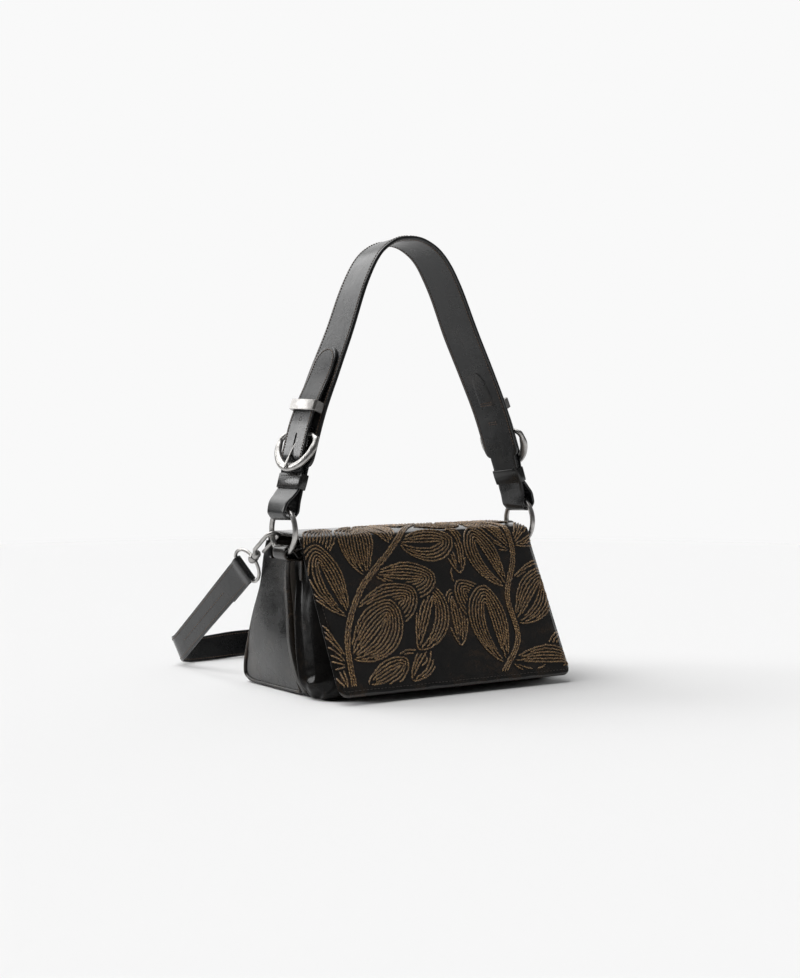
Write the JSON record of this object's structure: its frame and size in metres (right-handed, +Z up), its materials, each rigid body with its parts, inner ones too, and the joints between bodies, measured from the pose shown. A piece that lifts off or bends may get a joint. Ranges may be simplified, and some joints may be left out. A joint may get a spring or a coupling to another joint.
{
  "type": "shoulder bag",
  "caption": "Leather flap-over shoulder bag with a buckled top handle and a clip-on crossbody strap; zipped rear compartment and open front compartment.",
  "frame": {"origin": "middle of the base's underside, on the floor", "axes": "+Z up, +X to the bag's right as seen from its flap, so the flap hangs on the -Y side"},
  "size_m": [0.2661, 0.3058, 0.391],
  "materials": {
    "glazed_leather": "gloss",
    "strap_leather": "satin",
    "gunmetal": "polished",
    "lining_cloth": "matte",
    "zip_tape": "matte",
    "board": "matte"
  },
  "bodies": {
    "bag": {"back_panel": "glazed_leather", "base_panel": "glazed_leather", "divider_panel": "glazed_leather", "rear_gusset_left": "glazed_leather", "rear_gusset_right": "glazed_leather", "edge_bead_left": "glazed_leather", "edge_bead_right": "glazed_leather", "base_board": "board", "rear_lining": "lining_cloth", "front_panel": "glazed_leather", "front_gusset_left": "glazed_leather", "front_gusset_right": "glazed_leather", "front_lining": "lining_cloth", "zip_panel_front": "glazed_leather", "zip_panel_rear": "glazed_leather", "zip_tape_front": "zip_tape", "zip_tape_rear": "zip_tape", "zip_teeth": "gunmetal", "body_magnet": "gunmetal", "tab_left": "glazed_leather", "tab_right": "glazed_leather", "crossbody_strap": "strap_leather", "strap_loop_left": "gunmetal", "strap_loop_right": "gunmetal"},
    "flap_top": {"flap_top": "glazed_leather"},
    "flap_front": {"flap_front": "glazed_leather", "flap_lining": "lining_cloth", "flap_magnet": "gunmetal"},
    "handle": {"handle_strap": "strap_leather", "handle_end_left": "strap_leather", "handle_end_right": "strap_leather", "leather_keeper_left": "strap_leather", "leather_keeper_right": "strap_leather", "metal_keeper_left": "gunmetal", "metal_keeper_right": "gunmetal", "buckle_left": "gunmetal", "buckle_right": "gunmetal"},
    "ring_left": {"ring_left": "gunmetal"},
    "ring_right": {"ring_right": "gunmetal"},
    "prong_left": {"prong_left": "gunmetal"},
    "prong_right": {"prong_right": "gunmetal"},
    "hook_left": {"hook_left": "gunmetal"},
    "hook_right": {"hook_right": "gunmetal"},
    "hook_gate_left": {"hook_gate_left": "gunmetal"},
    "hook_gate_right": {"hook_gate_right": "gunmetal"},
    "zip_slider": {"zip_slider": "gunmetal"},
    "zip_pull": {"zip_pull": "gunmetal"}
  },
  "joints": [
    {"name": "flap_top_hinge", "type": "hinge", "parent": "bag", "child": "flap_top", "pos_m": [0, 0.0335, 0.1274], "axis": [-1, 0, 0], "range_deg": [0, 10]},
    {"name": "flap_front_fold", "type": "hinge", "parent": "flap_top", "child": "flap_front", "pos_m": [0, -0.0325, 0.1345], "axis": [-1, 0, 0], "range_deg": [0, 105]},
    {"name": "handle_swing", "type": "hinge", "parent": "bag", "child": "handle", "pos_m": [0, -0.014, 0.138], "axis": [-1, 0, 0], "range_deg": [-10, 35]},
    {"name": "ring_spin_left", "type": "hinge", "parent": "bag", "child": "ring_left", "pos_m": [-0.125, -0.014, 0.138], "axis": [1, 0, 0], "continuous": true},
    {"name": "ring_spin_right", "type": "hinge", "parent": "bag", "child": "ring_right", "pos_m": [0.125, -0.014, 0.138], "axis": [1, 0, 0], "continuous": true},
    {"name": "prong_lift_left", "type": "hinge", "parent": "handle", "child": "prong_left", "pos_m": [-0.10607, -0.01089, 0.21915], "axis": [-0.1818, 0.9833, 0.0098], "range_deg": [0, 35]},
    {"name": "prong_lift_right", "type": "hinge", "parent": "handle", "child": "prong_right", "pos_m": [0.10597, -0.00876, 0.21901], "axis": [0.2705, -0.9535, 0.1327], "range_deg": [0, 35]},
    {"name": "hook_swivel_left", "type": "hinge", "parent": "bag", "child": "hook_left", "pos_m": [-0.125, 0.00586, 0.13197], "axis": [0, 0.8387, -0.5446], "range_deg": [-10, 10]},
    {"name": "hook_swivel_right", "type": "hinge", "parent": "bag", "child": "hook_right", "pos_m": [0.125, 0.00586, 0.13197], "axis": [0, 0.8387, -0.5446], "range_deg": [-10, 10]},
    {"name": "hook_gate_hinge_left", "type": "hinge", "parent": "hook_left", "child": "hook_gate_left", "pos_m": [-0.1203, 0.02783, 0.1177], "axis": [0, -0.5446, -0.8387], "range_deg": [0, 18], "stiffness_Nm_per_rad": 0.02},
    {"name": "hook_gate_hinge_right", "type": "hinge", "parent": "hook_right", "child": "hook_gate_right", "pos_m": [0.1203, 0.02783, 0.1177], "axis": [0, 0.5446, 0.8387], "range_deg": [0, 18], "stiffness_Nm_per_rad": 0.02},
    {"name": "zip_slide", "type": "slide", "parent": "bag", "child": "zip_slider", "axis": [1, 0, 0], "range_m": [0, 0.19]},
    {"name": "zip_pull_hinge", "type": "hinge", "parent": "zip_slider", "child": "zip_pull", "pos_m": [-0.09592, -0.006, 0.12335], "axis": [0, 1, 0], "range_deg": [0, 18]}
  ]
}
